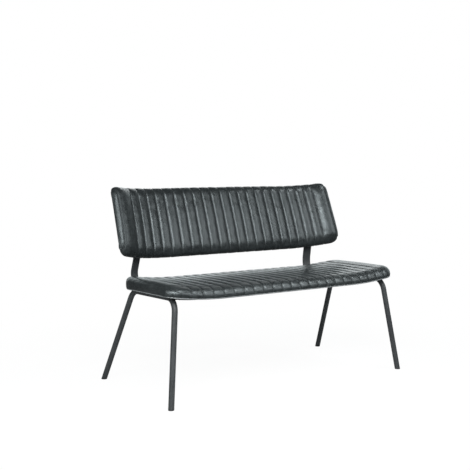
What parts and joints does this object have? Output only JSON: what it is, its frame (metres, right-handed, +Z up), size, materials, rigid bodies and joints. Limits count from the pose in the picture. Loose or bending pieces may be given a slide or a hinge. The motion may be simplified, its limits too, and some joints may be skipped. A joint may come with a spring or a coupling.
{
  "type": "upholstered dining bench",
  "caption": "Dining bench with channelled charcoal leather seat and winged backrest on bent tube legs, backrest carried by flat-bar brackets.",
  "frame": {"origin": "on the floor, in the middle of the bench's box", "axes": "+Z up, +X along the bench to the sitter's left, -Y the way a sitter faces"},
  "size_m": [1.2976, 0.651, 0.8934],
  "materials": {
    "frame_coat": "satin",
    "foot_plastic": "matte",
    "leather": "satin",
    "black_board": "matte",
    "plywood": "matte",
    "foam": "matte",
    "lining": "matte",
    "black_bolts": "satin",
    "zinc_steel": "satin"
  },
  "bodies": {
    "root": {"leg_frame_left": "frame_coat", "leg_frame_right": "frame_coat", "back_bracket_left": "frame_coat", "back_bracket_right": "frame_coat", "mount_plate_front_left": "frame_coat", "mount_plate_front_right": "frame_coat", "mount_plate_rear_left": "frame_coat", "mount_plate_rear_right": "frame_coat", "foot_front_left": "foot_plastic", "foot_front_right": "foot_plastic", "foot_rear_left": "foot_plastic", "foot_rear_right": "foot_plastic", "seat_cover": "leather", "back_cover": "leather", "back_rear_panel": "leather", "base_board": "black_board", "seat_shell": "plywood", "back_board": "plywood", "seat_foam": "foam", "back_foam": "foam", "seat_liner": "lining", "plate_bolts": "black_bolts", "bracket_seat_bolts": "black_bolts", "bracket_back_bolts": "black_bolts", "base_tee_nuts": "zinc_steel", "back_tee_nuts": "zinc_steel", "seat_screws": "zinc_steel"}
  },
  "joints": []
}
